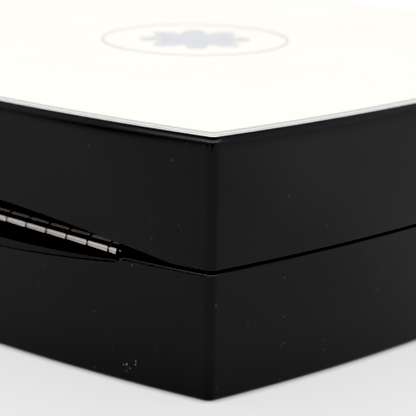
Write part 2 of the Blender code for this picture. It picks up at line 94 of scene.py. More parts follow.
def plan_outline(inset, corner_radius=None):
    """The plan curve `inset` inside the case's faces: four arcs joined by round corners, anticlockwise."""
    side_radius = SIDE_RADIUS - inset
    if corner_radius is None:
        corner_radius = max(CORNER_RADIUS - inset, LEAST_CORNER)
    centre_offset = SIDE_RADIUS - HALF_WIDTH
    reach = side_radius - corner_radius
    corner_centre = (math.sqrt(2 * reach ** 2 - centre_offset ** 2) - centre_offset) / 2
    side_half_angle = math.atan2(corner_centre, corner_centre + centre_offset)
    points = []
    for quarter in range(4):
        turn = Matrix.Rotation(quarter * math.pi / 2, 2)
        for step in range(SIDE_STEPS):
            angle = side_half_angle * (2 * step / SIDE_STEPS - 1)
            side = Vector((math.cos(angle), math.sin(angle))) * side_radius
            points.append(turn @ (side - Vector((centre_offset, 0))))
        for step in range(CORNER_STEPS):
            share = step / CORNER_STEPS
            angle = side_half_angle + share * (math.pi / 2 - 2 * side_half_angle)
            corner = Vector((math.cos(angle), math.sin(angle))) * corner_radius
            points.append(turn @ (corner + Vector((corner_centre, corner_centre))))
    return points


def level(inset, z, back=None, corner_radius=None):
    """The plan curve as a ring at height z, cut off flat at y = back where that is given."""
    points = plan_outline(inset, corner_radius)
    return [(p.x, p.y if back is None else min(p.y, back), z) for p in points]


def round_level(radius, z):
    """A circle at height z with as many points, at the same bearings, as a level of the case."""
    return [(*(p.normalized() * radius), z) for p in plan_outline(0.0)]


def foot_rings(z, rounding):
    """Rings that round a bottom edge, from the underside up to the full plan."""
    return [level(inset, z + rise) for inset, rise in rounded_edge(rounding)]


def brow_rings(z, rounding, inset=0.0, corner_radius=None, land=None, back=None):
    """Rings that round a top edge up to height z, stopping where they have gone in by `land`."""
    last = math.pi / 2 if land is None else math.acos(1 - land / rounding)
    rings = []
    for step in range(EDGE_STEPS + 1):
        angle = last * step / EDGE_STEPS
        ring_inset = inset + rounding * (1 - math.cos(angle))
        height = z - rounding * (math.sin(last) - math.sin(angle))
        edge = None if back is None else back - rounding * (1 - math.cos(angle))
        rings.append(level(ring_inset, height, edge, corner_radius))
    return rings


def skin(name, rings, endless=False):
    """An object whose skin joins each ring to the next, capped at both ends or closed on itself."""
    shape = bmesh.new()
    loops = [[shape.verts.new(point) for point in ring] for ring in rings]
    following = loops[1:] + loops[:1] if endless else loops[1:]
    for lower, upper in zip(loops, following):
        for i in range(len(lower)):
            j = (i + 1) % len(lower)
            shape.faces.new((lower[i], lower[j], upper[j], upper[i]))
    if not endless:
        shape.faces.new(loops[0])
        shape.faces.new(loops[-1])
    return object_of(name, shape)


def object_of(name, shape):
    """Turns a closed bmesh into an object in the scene."""
    bmesh.ops.recalc_face_normals(shape, faces=shape.faces)
    mesh = bpy.data.meshes.new(name)
    shape.to_mesh(mesh)
    shape.free()
    piece = bpy.data.objects.new(name, mesh)
    bpy.context.scene.collection.objects.link(piece)
    return piece


def block(name, low, high):
    corners = [(low[0], low[1]), (high[0], low[1]), (high[0], high[1]), (low[0], high[1])]
    return skin(name, [[(x, y, z) for x, y in corners] for z in (low[2], high[2])])


def prism(name, section, x_from, x_to):
    """A (y, z) section drawn out along X."""
    return skin(name, [[(x, y, z) for y, z in section] for x in (x_from, x_to)])


def yz_circle(x, y, z, radius, steps=64):
    return [(x, y + radius * math.cos(a), z + radius * math.sin(a)) for a in full_turn(steps)]


def rod(name, radius, x_from, x_to, steps=64):
    """A rod on the hinge axis."""
    return skin(name, [yz_circle(x, AXIS.y, AXIS.z, radius, steps) for x in (x_from, x_to)])


def circle_ring(radius, z, steps):
    return [(radius * math.cos(a), radius * math.sin(a), z) for a in full_turn(steps)]


def turned(name, profile, steps):
    """A piece turned about the Z axis from (radius, z) pairs, with flat ends."""
    return skin(name, [circle_ring(radius, z, steps) for radius, z in profile])


def merged(name, pieces):
    """One object that holds several separate closed shapes."""
    shape = bmesh.new()
    for piece in pieces:
        shape.from_mesh(piece.data)
        bpy.data.objects.remove(piece)
    return object_of(name, shape)


def carve(piece, cuts=(), joins=()):
    """Joins shapes on and cuts shapes out, then keeps the result as the piece's own mesh."""
    for operation, tools in (("UNION", joins), ("DIFFERENCE", cuts)):
        for tool in tools:
            modifier = piece.modifiers.new(tool.name, "BOOLEAN")
            modifier.operation = operation
            modifier.solver = "EXACT"
            modifier.object = tool
    settle(piece)
    for tool in (*cuts, *joins):
        bpy.data.objects.remove(tool)
    return piece


def settle(piece):
    """Replaces a piece's modifiers by their result."""
    bpy.context.view_layer.update()
    evaluated = piece.evaluated_get(bpy.context.evaluated_depsgraph_get())
    old = piece.data
    piece.data = bpy.data.meshes.new_from_object(evaluated)
    piece.modifiers.clear()
    bpy.data.meshes.remove(old)


def smooth(piece, sharp_degrees=30):
    """Shades a piece smooth between its sharp edges, with its broad faces left true."""
    piece.data.shade_smooth()
    piece.data.set_sharp_from_angle(angle=math.radians(sharp_degrees))
    weighted = piece.modifiers.new("weighted", "WEIGHTED_NORMAL")
    weighted.mode = "FACE_AREA"
    weighted.weight = 100
    weighted.keep_sharp = True
    settle(piece)
    return piece


# Materials

def new_material(name):
    material = bpy.data.materials.new(name)
    material.use_nodes = True
    tree = material.node_tree
    return material, tree, tree.nodes["Principled BSDF"]


def feed(node, inputs):
    """Sets a node's inputs, by name or number, to plain values or to what sockets give."""
    for key, value in inputs.items():
        if isinstance(value, bpy.types.NodeSocket):
            node.id_data.links.new(value, node.inputs[key])
        else:
            node.inputs[key].default_value = value


def reckon(tree, operation, first, second=0.0):
    """A number worked out from two others; either may be a socket."""
    node = tree.nodes.new("ShaderNodeMath")
    node.operation = operation
    feed(node, {0: first, 1: second})
    return node.outputs[0]


def vector_reckon(tree, operation, vector, second=(0.0, 0.0, 0.0), result=0):
    """A vector operation on a socket and, where it takes two, a fixed vector; result 1 is a number."""
    node = tree.nodes.new("ShaderNodeVectorMath")
    node.operation = operation
    feed(node, {0: vector, 1: second})
    return node.outputs[result]


def object_place(tree):
    return tree.nodes.new("ShaderNodeTexCoord").outputs["Object"]


def stretched_place(tree, stretch, turn=0.0):
    mapping = tree.nodes.new("ShaderNodeMapping")
    feed(mapping, {"Vector": object_place(tree), "Rotation": (turn,) * 3, "Scale": stretch})
    return mapping.outputs["Vector"]


def noise(tree, scale, detail=2.0, roughness=0.5, stretch=None):
    """Noise over the object's own coordinates, stretched along an axis if asked."""
    source = object_place(tree) if stretch is None else stretched_place(tree, stretch)
    texture = tree.nodes.new("ShaderNodeTexNoise")
    feed(texture, {"Vector": source, "Scale": scale, "Detail": detail, "Roughness": roughness})
    return texture.outputs["Fac"]


def spread(tree, value, low, high, from_low=0.3, from_high=0.7):
    """Maps a value onto a range, clamped at both ends."""
    node = tree.nodes.new("ShaderNodeMapRange")
    feed(node, {"Value": value, "From Min": from_low, "From Max": from_high, "To Min": low, "To Max": high})
    return node.outputs["Result"]


def blend_colours(tree, factor, first, second):
    """A mix of two colours; either may be a socket."""
    node = tree.nodes.new("ShaderNodeMix")
    node.data_type = "RGBA"
    first, second = [(*side, 1.0) if isinstance(side, tuple) else side for side in (first, second)]
    feed(node, {0: factor, 6: first, 7: second})
    return node.outputs[2]


def tint(tree, value, dark, light):
    """A colour that goes from dark to light with a noise value."""
    return blend_colours(tree, spread(tree, value, 0.0, 1.0), dark, light)


def by_ray(tree, kind, otherwise, for_kind):
    """One number for rays of a kind, such as "Is Glossy Ray", and another for the rest."""
    path = tree.nodes.new("ShaderNodeLightPath")
    node = tree.nodes.new("ShaderNodeMix")
    feed(node, {0: path.outputs[kind], 2: otherwise, 3: for_kind})
    return node.outputs[0]


def bump(tree, height, strength, distance, normal=None):
    node = tree.nodes.new("ShaderNodeBump")
    feed(node, {"Strength": strength, "Distance": distance, "Height": height})
    if normal is not None:
        feed(node, {"Normal": normal})
    return node.outputs["Normal"]


def soft_edges(tree, radius):
    """Normals rounded over edges by a radius."""
    node = tree.nodes.new("ShaderNodeBevel")
    node.samples = 6
    feed(node, {"Radius": radius})
    return node.outputs["Normal"]


def specks(tree, cells_per_metre, share, size, stretch=(1.0, 1.0, 1.0), turn=0.0):
    """Dust: a dot, or a fibre where stretched, in a share of the cells of a random lattice, in drifts."""
    cells = tree.nodes.new("ShaderNodeTexVoronoi")
    feed(cells, {"Vector": stretched_place(tree, stretch, turn), "Scale": cells_per_metre})
    draw = tree.nodes.new("ShaderNodeSeparateColor")
    feed(draw, {0: cells.outputs["Color"]})
    dot_size = spread(tree, draw.outputs["Green"], size / 2, size, 0.0, 1.0)
    near = reckon(tree, "LESS_THAN", cells.outputs["Distance"], dot_size)
    drift = spread(tree, noise(tree, 70.0), 0.2 * share, 2.0 * share, 0.4, 0.6)
    chosen = reckon(tree, "LESS_THAN", draw.outputs["Red"], drift)
    return reckon(tree, "MULTIPLY", near, chosen)


def spilt_powder(tree, middle):
    """Crumbs in a patch on an upright face, twice as wide as it is high."""
    flat = Vector((0.5, 0.5, 1.0))
    place = vector_reckon(tree, "MULTIPLY", object_place(tree), flat)
    away = vector_reckon(tree, "DISTANCE", place, middle * flat, result=1)
    near = spread(tree, away, 1.0, 0.0, 0.65 * MM, 0.75 * MM)
    return reckon(tree, "MULTIPLY", near, specks(tree, 2900.0, 0.6, 0.28))


def slope_with_painted_shade(tree, reflection, slope_reflection):
    """The reflection of a face, lowered as painted shade on one that hangs over at 45 degrees."""
    facing = tree.nodes.new("ShaderNodeSeparateXYZ")
    feed(facing, {0: tree.nodes.new("ShaderNodeTexCoord").outputs["Normal"]})
    off_slope = reckon(tree, "ABSOLUTE", reckon(tree, "ADD", facing.outputs["Z"], math.sqrt(0.5)))
    return spread(tree, off_slope, slope_reflection, reflection, 0.1, 0.15)


def black_gloss(name, dust=0.06, crumbs=None, slope_reflection=None):
    """Black moulding polished like a piano, with faint handling haze, dust specks and fibres, and painted
    shade on a 45 degree overhang when slope_reflection is given.
    """
    material, tree, shader = new_material(name)
    reflection = 0.575
    body = tint(tree, noise(tree, 60.0), (0.0012, 0.0013, 0.0014), (0.0022, 0.0022, 0.0021))
    colour = blend_colours(tree, specks(tree, 1500.0, dust, 0.12), body, (0.05, 0.05, 0.05))
    fibres = specks(tree, 900.0, 0.05, 0.05, (1.0, 1.0, 0.12), 0.7)
    colour = blend_colours(tree, fibres, colour, (0.014, 0.014, 0.014))
    if crumbs is not None:
        colour = blend_colours(tree, spilt_powder(tree, crumbs), colour, (0.26, 0.25, 0.24))
    # Painted shade: a lower specular level on the 45 degree overhang darkens its reflections.
    if slope_reflection is not None:
        reflection = slope_with_painted_shade(tree, reflection, slope_reflection)
    feed(shader, {
        "Base Color": colour,
        "Roughness": spread(tree, noise(tree, 90.0, detail=4.0), 0.01, 0.04),
        "Specular IOR Level": reflection,
        "Normal": bump(tree, noise(tree, 220.0, detail=1.0), 0.04, 0.02 * MM, soft_edges(tree, 0.09 * MM)),
    })
    return material


def ivory_lacquer(name):
    """Warm white lacquer under a clear gloss."""
    material, tree, shader = new_material(name)
    feed(shader, {
        "Base Color": tint(tree, noise(tree, 45.0, detail=3.0), (0.83, 0.79, 0.73), (0.86, 0.82, 0.76)),
        "Roughness": spread(tree, noise(tree, 120.0), 0.10, 0.18),
        "Subsurface Weight": 0.15,
        "Subsurface Radius": (1.0, 0.8, 0.6),
        "Subsurface Scale": 0.3 * MM,
        "Specular IOR Level": 0.3,
        "Normal": soft_edges(tree, 0.05 * MM),
    })
    return material


def metal(name, dark, light, gloss_low, gloss_high, grain, metallic=1.0):
    """Plated metal: colour and gloss vary along fine polishing grain."""
    material, tree, shader = new_material(name)
    lines = noise(tree, 900.0, detail=3.0, stretch=grain)
    feed(shader, {
        "Base Color": tint(tree, lines, dark, light),
        "Roughness": spread(tree, lines, gloss_low, gloss_high),
        "Metallic": metallic,
        "Normal": bump(tree, lines, 0.15, 0.01 * MM, soft_edges(tree, 0.04 * MM)),
    })
    return material


def satin_black(name):
    """Black moulding with a fine spark-eroded texture."""
    material, tree, shader = new_material(name)
    feed(shader, {
        "Base Color": tint(tree, noise(tree, 70.0), (0.010, 0.010, 0.011), (0.016, 0.016, 0.016)),
        "Roughness": spread(tree, noise(tree, 400.0), 0.30, 0.42),
        "Normal": bump(tree, noise(tree, 4200.0, detail=2.0), 0.25, 0.02 * MM),
    })
    return material


def brushed_aluminium(name):
    """Aluminium with rings left by spinning."""
    material, tree, shader = new_material(name)
    flat = vector_reckon(tree, "MULTIPLY", object_place(tree), (1.0, 1.0, 0.0))
    rings = tree.nodes.new("ShaderNodeTexNoise")
    rings.noise_dimensions = "1D"
    feed(rings, {"Scale": 9000.0, "W": vector_reckon(tree, "LENGTH", flat, result=1)})
    lines = rings.outputs["Fac"]
    feed(shader, {
        "Base Color": tint(tree, lines, (0.62, 0.62, 0.63), (0.80, 0.80, 0.81)),
        "Roughness": spread(tree, lines, 0.22, 0.38),
        "Metallic": 1.0,
        "Normal": bump(tree, lines, 0.3, 0.01 * MM),
    })
    return material


def powder(name):
    """Pressed beige powder: fine grain with faint darker mottling."""
    material, tree, shader = new_material(name)
    soft = tint(tree, noise(tree, 260.0, detail=5.0), (0.72, 0.47, 0.32), (0.82, 0.57, 0.41))
    grain = noise(tree, 6500.0, detail=3.0)
    feed(shader, {
        "Base Color": blend_colours(tree, spread(tree, grain, 0.0, 0.35), soft, (0.60, 0.36, 0.24)),
        "Roughness": 0.95,
        "Sheen Weight": 0.25,
        "Normal": bump(tree, grain, 0.5, 0.03 * MM),
    })
    return material


def velour(name):
    """Cut velour: a short nap that lies in patches, pale at grazing angles."""
    material, tree, shader = new_material(name)
    lie = noise(tree, 140.0, detail=3.0)
    nap = noise(tree, 5200.0, detail=4.0, roughness=0.7)
    ground = tint(tree, lie, (0.63, 0.50, 0.37), (0.76, 0.64, 0.50))
    feed(shader, {
        "Base Color": blend_colours(tree, spread(tree, nap, 0.0, 0.55), ground, (0.46, 0.35, 0.25)),
        "Roughness": spread(tree, nap, 0.85, 1.0),
        "Sheen Weight": 0.8,
        "Sheen Roughness": 0.4,
        "Sheen Tint": (1.0, 0.94, 0.84, 1.0),
        "Specular IOR Level": 0.1,
        "Normal": bump(tree, nap, 0.9, 0.10 * MM, bump(tree, lie, 0.3, 0.12 * MM)),
    })
    return material


def satin_ribbon(name):
    """Black satin with fine cross ribs and a soft sheen."""
    material, tree, shader = new_material(name)
    wave = tree.nodes.new("ShaderNodeTexWave")
    wave.bands_direction = "Y"
    feed(wave, {"Vector": object_place(tree), "Scale": 900.0, "Distortion": 0.6})
    ribs = wave.outputs["Fac"]
    threads = noise(tree, 2600.0, detail=2.0, stretch=(1.0, 0.05, 1.0))
    feed(shader, {
        "Base Color": tint(tree, threads, (0.012, 0.012, 0.013), (0.034, 0.033, 0.032)),
        "Roughness": spread(tree, ribs, 0.28, 0.46, 0.0, 1.0),
        "Sheen Weight": 0.3,
        "Anisotropic": 0.5,
        "Normal": bump(tree, ribs, 0.5, 0.03 * MM, bump(tree, threads, 0.3, 0.02 * MM)),
    })
    return material


def rubber(name):
    """Matt black rubber with a fine moulded stipple."""
    material, tree, shader = new_material(name)
    stipple = noise(tree, 2600.0, detail=1.0)
    feed(shader, {
        "Base Color": tint(tree, noise(tree, 90.0), (0.016, 0.016, 0.016), (0.026, 0.025, 0.025)),
        "Roughness": spread(tree, stipple, 0.7, 0.9),
        "Normal": bump(tree, stipple, 0.6, 0.05 * MM),
    })
    return material


def foam(name):
    """Pale double-sided foam tape with open pores."""
    material, tree, shader = new_material(name)
    pores = noise(tree, 1800.0, detail=4.0)
    feed(shader, {
        "Base Color": tint(tree, pores, (0.52, 0.52, 0.50), (0.80, 0.80, 0.77)),
        "Roughness": 0.95,
        "Normal": bump(tree, pores, 0.8, 0.1 * MM),
    })
    return material


def silvered_glass(name):
    """Mirror glass: clear silvering, slightly green, with the faintest polishing haze."""
    material, tree, shader = new_material(name)
    haze = spread(tree, noise(tree, 60.0, detail=4.0), 0.0, 1.0)
    feed(shader, {
        "Base Color": blend_colours(tree, haze, (0.86, 0.885, 0.875), (0.89, 0.905, 0.90)),
        "Roughness": spread(tree, haze, 0.0, 0.02, 0.0, 1.0),
        "Metallic": 1.0,
        "Normal": soft_edges(tree, 0.2 * MM),
    })
    return material


def film(name):
    """Thin clear film with a slight ripple."""
    material, tree, shader = new_material(name)
    ripple = noise(tree, 120.0, detail=2.0)
    feed(shader, {
        "Base Color": tint(tree, ripple, (0.90, 0.92, 0.93), (0.97, 0.98, 0.98)),
        "Roughness": spread(tree, ripple, 0.04, 0.10),
        "Alpha": 0.22,
        "Normal": bump(tree, ripple, 0.3, 0.2 * MM),
    })
    return material


def dress(piece, material, body=None, nodes=()):
    """Gives a piece its material, its body and the CAD nodes that it stands for."""
    piece.data.materials.clear()
    piece.data.materials.append(material)
    if body is not None:
        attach(piece, body)
    if nodes:
        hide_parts(*nodes)


# Case

WALL = 2.0 * MM
CAVITY_CORNER = 2.5 * MM
CAVITY_BACK_Y = AXIS.y - 4.41 * MM
BASE_RIM_ROUNDING = 0.3 * MM
LID_RIM_ROUNDING = 0.1 * MM
TOP_ROUNDING = 1.0 * MM
TOP_RECESS_INSET = 0.18 * MM
FOOT_ROUNDING = 0.2 * MM
BASE_FLOOR = 2.0 * MM
PAD_INSET = 6.0 * MM
PAD_CORNER = 4.0 * MM
PAD_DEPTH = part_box("base_pad")[1].z + 0.1 * MM
BARREL_RADIUS = 0.437 * MM
BARREL_BORE = 0.25 * MM
BASE_BARREL_HOLLOW = 0.52 * MM
BASE_BARREL_END = 24.1 * MM
LID_BARREL_HOLLOW = 0.6 * MM
LID_BARREL_END = 24.0 * MM
LID_BEVEL_OFF_AXIS = 0.25 * MM
BEVEL_HALF_LENGTH = 24.35 * MM
BEVEL_END_ROUNDING = 0.7 * MM
BEVEL_SLOPE = 0.82
BEVEL_LOW = Vector((0.0, 34.94, 10.77)) * MM
# Moulded lines on the base's back face: name, ends, radius and, off the bevel, the drop below the rim.
EDGE_LINES = (
    ("bevel_line_cutter", -23.6 * MM, 23.6 * MM, 0.13 * MM),
    ("left_line_cutter", -34.2 * MM, -24.3 * MM, 0.065 * MM, 0.39 * MM),
    ("right_line_cutter", 24.3 * MM, 34.2 * MM, 0.065 * MM, 0.39 * MM),
)
# The groove below the barrel: each station's x, and its share of the full depth.
GROOVE_STATIONS = ((-23.9 * MM, 0.0), (-16.0 * MM, 1.0), (16.0 * MM, 1.0), (23.9 * MM, 0.0))
LEAF_LOW, LEAF_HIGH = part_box("hinge_leaf_base")
LEAF_RECESS = BARREL_RADIUS + 0.05 * MM
BUTTON_HALF_WIDTH = 6.1 * MM
BUTTON_HALF_HEIGHT = 1.45 * MM
BUTTON_MIDDLE_Z = 7.7 * MM
BUTTON_CORNER = 0.9 * MM
BUTTON_CLEARANCE = 0.15 * MM
SPILT_POWDER = Vector((-25.7, 34.5, 1.5)) * MM


def base_bevel_cutter():
    """The wedge that clears the lid's back edge, rounded where its ends meet the rim."""
    high = CASE_HEIGHT
    far = HALF_WIDTH + 4 * MM
    rings = []
    for side in (-1, 1):
        for lift, shortening in rounded_edge(BEVEL_END_ROUNDING)[::-side]:
            x = side * (BEVEL_HALF_LENGTH - shortening)
            slope = BEVEL_LOW.y + BEVEL_LOW.z / BEVEL_SLOPE + lift / BEVEL_SLOPE
            far_z = BEVEL_SLOPE * (slope - far)
            rings.append([(x, slope - high / BEVEL_SLOPE, high), (x, far, far_z), (x, far, high)])
    return skin("base_bevel_cutter", rings)


def groove_cutter():
    """The groove below the hinge barrel, which runs out towards both ends of the barrel."""
    rings = []
    for x, depth in GROOVE_STATIONS:
        middle_y = AXIS.y + 0.24 * MM * depth
        middle_z = AXIS.z - 0.35 * MM * depth
        rings.append(yz_circle(x, middle_y, middle_z, (0.50 + 0.35 * depth) * MM))
    return skin("groove_cutter", rings)


def edge_line_cutter(name, x_from, x_to, radius, drop=None):
    """A fine line along the edge of the base's bevel, or `drop` below the rim beside it."""
    steps = 57
    rings = []
    for step in range(steps + 1):
        x = x_from + (x_to - x_from) * step / steps
        y = math.sqrt(SIDE_RADIUS ** 2 - x ** 2) - (SIDE_RADIUS - HALF_WIDTH)
        z = BEVEL_LOW.z - BEVEL_SLOPE * (y - BEVEL_LOW.y) if drop is None else PARTING_Z - drop
        rings.append(yz_circle(x, y, z, radius, 16))
    return skin(name, rings)


def lid_bevel_cutter():
    """The half-space below the lid's 45 degree back bevel."""
    low = PARTING_Z - 3 * MM
    high = PARTING_Z + 9 * MM
    slope = PARTING_Z - AXIS.y + LID_BEVEL_OFF_AXIS * math.sqrt(2)
    section = [(low - slope, low), (high - slope, low), (high - slope, high)]
    return prism("lid_bevel_cutter", section, -HALF_WIDTH, HALF_WIDTH)


def leaf_recess_cutter(name, z_from, z_to):
    low = (LEAF_LOW.x - 0.2 * MM, LEAF_LOW.y - 0.15 * MM, z_from)
    high = (LEAF_HIGH.x + 0.2 * MM, AXIS.y + 0.1 * MM, z_to)
    return block(name, low, high)


def button_outline(grow):
    """The round-cornered face of the button as (x, z) pairs, grown by a clearance."""
    half_width = BUTTON_HALF_WIDTH + grow
    half_height = BUTTON_HALF_HEIGHT + grow
    corner = BUTTON_CORNER + grow
    steps = 12
    outline = []
    for quarter in range(4):
        centre_x = (half_width - corner) * (1 if quarter in (0, 3) else -1)
        centre_z = BUTTON_MIDDLE_Z + (half_height - corner) * (1 if quarter in (0, 1) else -1)
        for step in range(steps + 1):
            angle = math.pi / 2 * (quarter + step / steps)
            outline.append((centre_x + corner * math.cos(angle), centre_z + corner * math.sin(angle)))
    return outline


def face_bar(name, stations):
    """The button's outline drawn out along Y through (y, inset) stations."""
    return skin(name, [[(x, y, z) for x, z in button_outline(-inset)] for y, inset in stations])


def base_case():
    rings = [level(PAD_INSET, z, corner_radius=PAD_CORNER) for z in (PAD_DEPTH, 0.0)]
    rings += foot_rings(0.0, FOOT_ROUNDING)
    rings += brow_rings(BASE_HIGH.z, BASE_RIM_ROUNDING)
    rings += [level(WALL, z, CAVITY_BACK_Y, CAVITY_CORNER) for z in (BASE_HIGH.z, BASE_FLOOR)]
    case = skin("base_case", rings)
    barrel = rod("barrel_cutter", BASE_BARREL_HOLLOW, -BASE_BARREL_END, BASE_BARREL_END)
    lines = [edge_line_cutter(*line) for line in EDGE_LINES]
    recess = leaf_recess_cutter("recess_cutter", PARTING_Z - LEAF_RECESS, PARTING_Z + 2 * MM)
    through_front = (-HALF_WIDTH - 3 * MM, -HALF_WIDTH + 4 * MM)
    window = face_bar("window_cutter", [(y, -BUTTON_CLEARANCE) for y in through_front])
    carve(case, cuts=(base_bevel_cutter(), groove_cutter(), barrel, *lines, recess, window))
    gloss = black_gloss("black_case", dust=0.11, crumbs=SPILT_POWDER)
    dress(smooth(case), gloss, "base", ("base_shell",))


def lid_case():
    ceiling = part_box("mirror_tape")[1].z + 0.1 * MM
    recess_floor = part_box("top_plate")[0].z - 0.05 * MM
    rings = [level(WALL, z, CAVITY_BACK_Y, CAVITY_CORNER) for z in (ceiling, LID_LOW.z)]
    rings += foot_rings(LID_LOW.z, LID_RIM_ROUNDING)
    rings += brow_rings(CASE_HEIGHT, TOP_ROUNDING, land=TOP_RECESS_INSET - 0.01 * MM)
    rings += [level(TOP_RECESS_INSET, z) for z in (CASE_HEIGHT, recess_floor)]
    case = skin("lid_case", rings)
    barrel = rod("barrel_cutter", LID_BARREL_HOLLOW, -LID_BARREL_END, LID_BARREL_END)
    recess = leaf_recess_cutter("recess_cutter", PARTING_Z - 2 * MM, PARTING_Z + LEAF_RECESS)
    carve(case, cuts=(lid_bevel_cutter(), barrel, recess))
    gloss = black_gloss("black_lid", slope_reflection=0.08)
    dress(smooth(case), gloss, "lid", ("lid_shell",))


# Lid top

PLATE_CORNER = 0.9 * MM
RING_WIDTH = 0.27 * MM
PETALS = 8


def lid_plate():
    low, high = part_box("top_plate")
    inset = HALF_WIDTH - high.x
    rings = [level(inset, low.z, corner_radius=PLATE_CORNER)]
    rings += brow_rings(high.z, 0.15 * MM, inset, PLATE_CORNER)
    plate = smooth(skin("lid_plate", rings))
    dress(plate, ivory_lacquer("ivory_plate"), "lid", ("top_plate",))


def lid_trim():
    low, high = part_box("top_trim")
    outer = HALF_WIDTH - high.x
    inner = outer + 0.75 * MM
    rounding = 0.1 * MM
    rings = [level(inner, low.z), level(outer, low.z)]
    rings += brow_rings(high.z, rounding, outer)
    rings += [level(inner - inset, high.z - drop) for inset, drop in rounded_edge(rounding)]
    trim = smooth(skin("lid_trim", rings, endless=True))
    silver = metal("trim_silver", (0.89, 0.91, 0.94), (0.96, 0.97, 0.99), 0.10, 0.2, (1.0, 1.0, 1.0))
    dress(trim, silver, "lid", ("top_trim",))


def emblem():
    """A plain ring with a rosette of round petals, printed in foil."""
    satin = (0.35, 0.5)
    foil = metal("emblem_foil", (0.84, 0.87, 0.91), (0.93, 0.95, 0.98), *satin, (1.0, 1.0, 1.0), metallic=0.8)
    low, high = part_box("emblem_ring")
    outer = high.x
    inner = outer - RING_WIDTH
    corners = ((inner, low.z), (outer, low.z), (outer, high.z), (inner, high.z))
    ring = skin("foil_ring", [circle_ring(radius, z, 240) for radius, z in corners], endless=True)
    dress(smooth(ring), foil, "lid", ("emblem_ring",))
    low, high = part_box("emblem_rosette")
    bearings = full_turn(PETALS * 48)
    radii = [(2.4 + 3.6 * abs(math.cos(PETALS * a / 2)) ** 0.7) * MM for a in bearings]
    outline = [(radius * math.cos(a), radius * math.sin(a)) for radius, a in zip(radii, bearings)]
    rosette = skin("foil_rosette", [[(x, y, z) for x, y in outline] for z in (low.z, high.z)])
    dress(smooth(rosette), foil, "lid", ("emblem_rosette",))


# Hinge

KNUCKLE_PITCH = 2.68 * MM
SHORT_KNUCKLE = 1.08 * MM
FULL_KNUCKLES = 17
KNUCKLE_GAP = 0.25 * MM
STRIP_SETBACK = 0.56 * MM
PIN_SETBACK = 0.5 * MM
PIN_RADIUS = 0.2 * MM
SCORE_DEGREES = 8.0
SCORE_DEPTH = 0.09 * MM
ROLL_END_DEGREES = 205
HINGE_LEFT_X = LEAF_LOW.x - 0.04 * MM


def knuckle_section(flip, inset=0.0):
    """A (y, z) section about the hinge axis: sheet coming in from -Y and rolled round the pin."""
    tuck = 0.01 * MM
    steps = 48
    strip_back = -1.06 * MM
    outside = BARREL_RADIUS - inset
    angles = [math.radians(-90 + (ROLL_END_DEGREES + 90) * step / steps) for step in range(steps + 1)]
    score = round(steps * (90 + flip * SCORE_DEGREES) / (90 + ROLL_END_DEGREES))
    radii = [outside - SCORE_DEPTH if step == score else outside for step in range(steps + 1)]
    outer = [(radius * math.cos(a), radius * math.sin(a)) for radius, a in zip(radii, angles)]
    inner = [(BARREL_BORE * math.cos(a), BARREL_BORE * math.sin(a)) for a in reversed(angles)]
    tail = [(strip_back, -BARREL_BORE - tuck), (strip_back, -outside + tuck), (0.0, -outside + tuck)]
    section = outer[1:] + inner[:-1] + [(0.0, -BARREL_BORE - tuck)] + tail
    return [(AXIS.y + y, AXIS.z + flip * z) for y, z in section]


def knuckle(flip, left, right):
    """One rolled knuckle, its ends tumbled round."""
    stations = rounded_edge(0.05 * MM, 4)
    rings = [(left + x, inset) for x, inset in reversed(stations)]
    rings += [(right - x, inset) for x, inset in stations]
    return skin("knuckle", [[(x, y, z) for y, z in knuckle_section(flip, inset)] for x, inset in rings])


def knuckle_spans(first):
    """The (left, right) ends of every second knuckle, from the first or the second."""
    first_full = HINGE_LEFT_X + SHORT_KNUCKLE
    edges = [HINGE_LEFT_X] + [first_full + k * KNUCKLE_PITCH for k in range(FULL_KNUCKLES + 1)]
    spans = list(zip(edges, edges[1:]))[first::2]
    return [(left + KNUCKLE_GAP / 2, right - KNUCKLE_GAP / 2) for left, right in spans]


def leaf(name, node, body, first, flip, material):
    """A leaf with its rolled knuckles; flip is 1 on the base, -1 on the lid."""
    low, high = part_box(node)
    knuckles = [knuckle(flip, *span) for span in knuckle_spans(first)]
    z_pair = sorted(AXIS.z - flip * z for z in (BARREL_RADIUS, BARREL_BORE))
    strip = block(name, (low.x, low.y, z_pair[0]), (high.x, AXIS.y - STRIP_SETBACK, z_pair[1]))
    carve(strip, joins=(merged("knuckles", knuckles),))
    dress(smooth(strip, 25), material, body, (node,))


def hinge():
    nickel = metal("hinge_nickel", (0.56, 0.53, 0.51), (0.77, 0.735, 0.71), 0.08, 0.18, (0.1, 1.0, 1.0))
    leaf("hinge_leaf_lower", "hinge_leaf_base", "base", 0, 1, nickel)
    leaf("hinge_leaf_upper", "hinge_leaf_lid", "lid", 1, -1, nickel)
    low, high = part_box("hinge_pin")
    pin = rod("hinge_pin_recessed", PIN_RADIUS, low.x + PIN_SETBACK, high.x - PIN_SETBACK, 32)
    dress(smooth(pin), nickel, "base", ("hinge_pin",))
    for body in ("base", "lid"):
        for side in ("left", "middle", "right"):
            dress(NODES[f"{body}_rivet_{side}"], nickel)


# Inside of the base

PUFF_LOW, PUFF_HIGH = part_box("puff")
PUFF_CENTRE_Z = (PUFF_LOW.z + PUFF_HIGH.z) / 2
PUFF_RADIUS = PUFF_HIGH.x
PUFF_HALF = (PUFF_HIGH.z - PUFF_LOW.z) / 2
SEAM_PULL = 0.45 * MM
GATHER_PULL = 0.05 * MM
GATHERS = 70
SIM_SCALE = 10.0
CLOTH = {
    "quality": 6,
    "mass": 0.3,
    "tension_stiffness": 20,
    "compression_stiffness": 20,
    "shear_stiffness": 8,
    "bending_stiffness": 1.5,
}


def puff_height(radius):
    """How far the puff's skin stands above its middle plane."""
    return PUFF_HALF * math.sqrt(max(0.0, 1 - (radius / PUFF_RADIUS) ** 4))


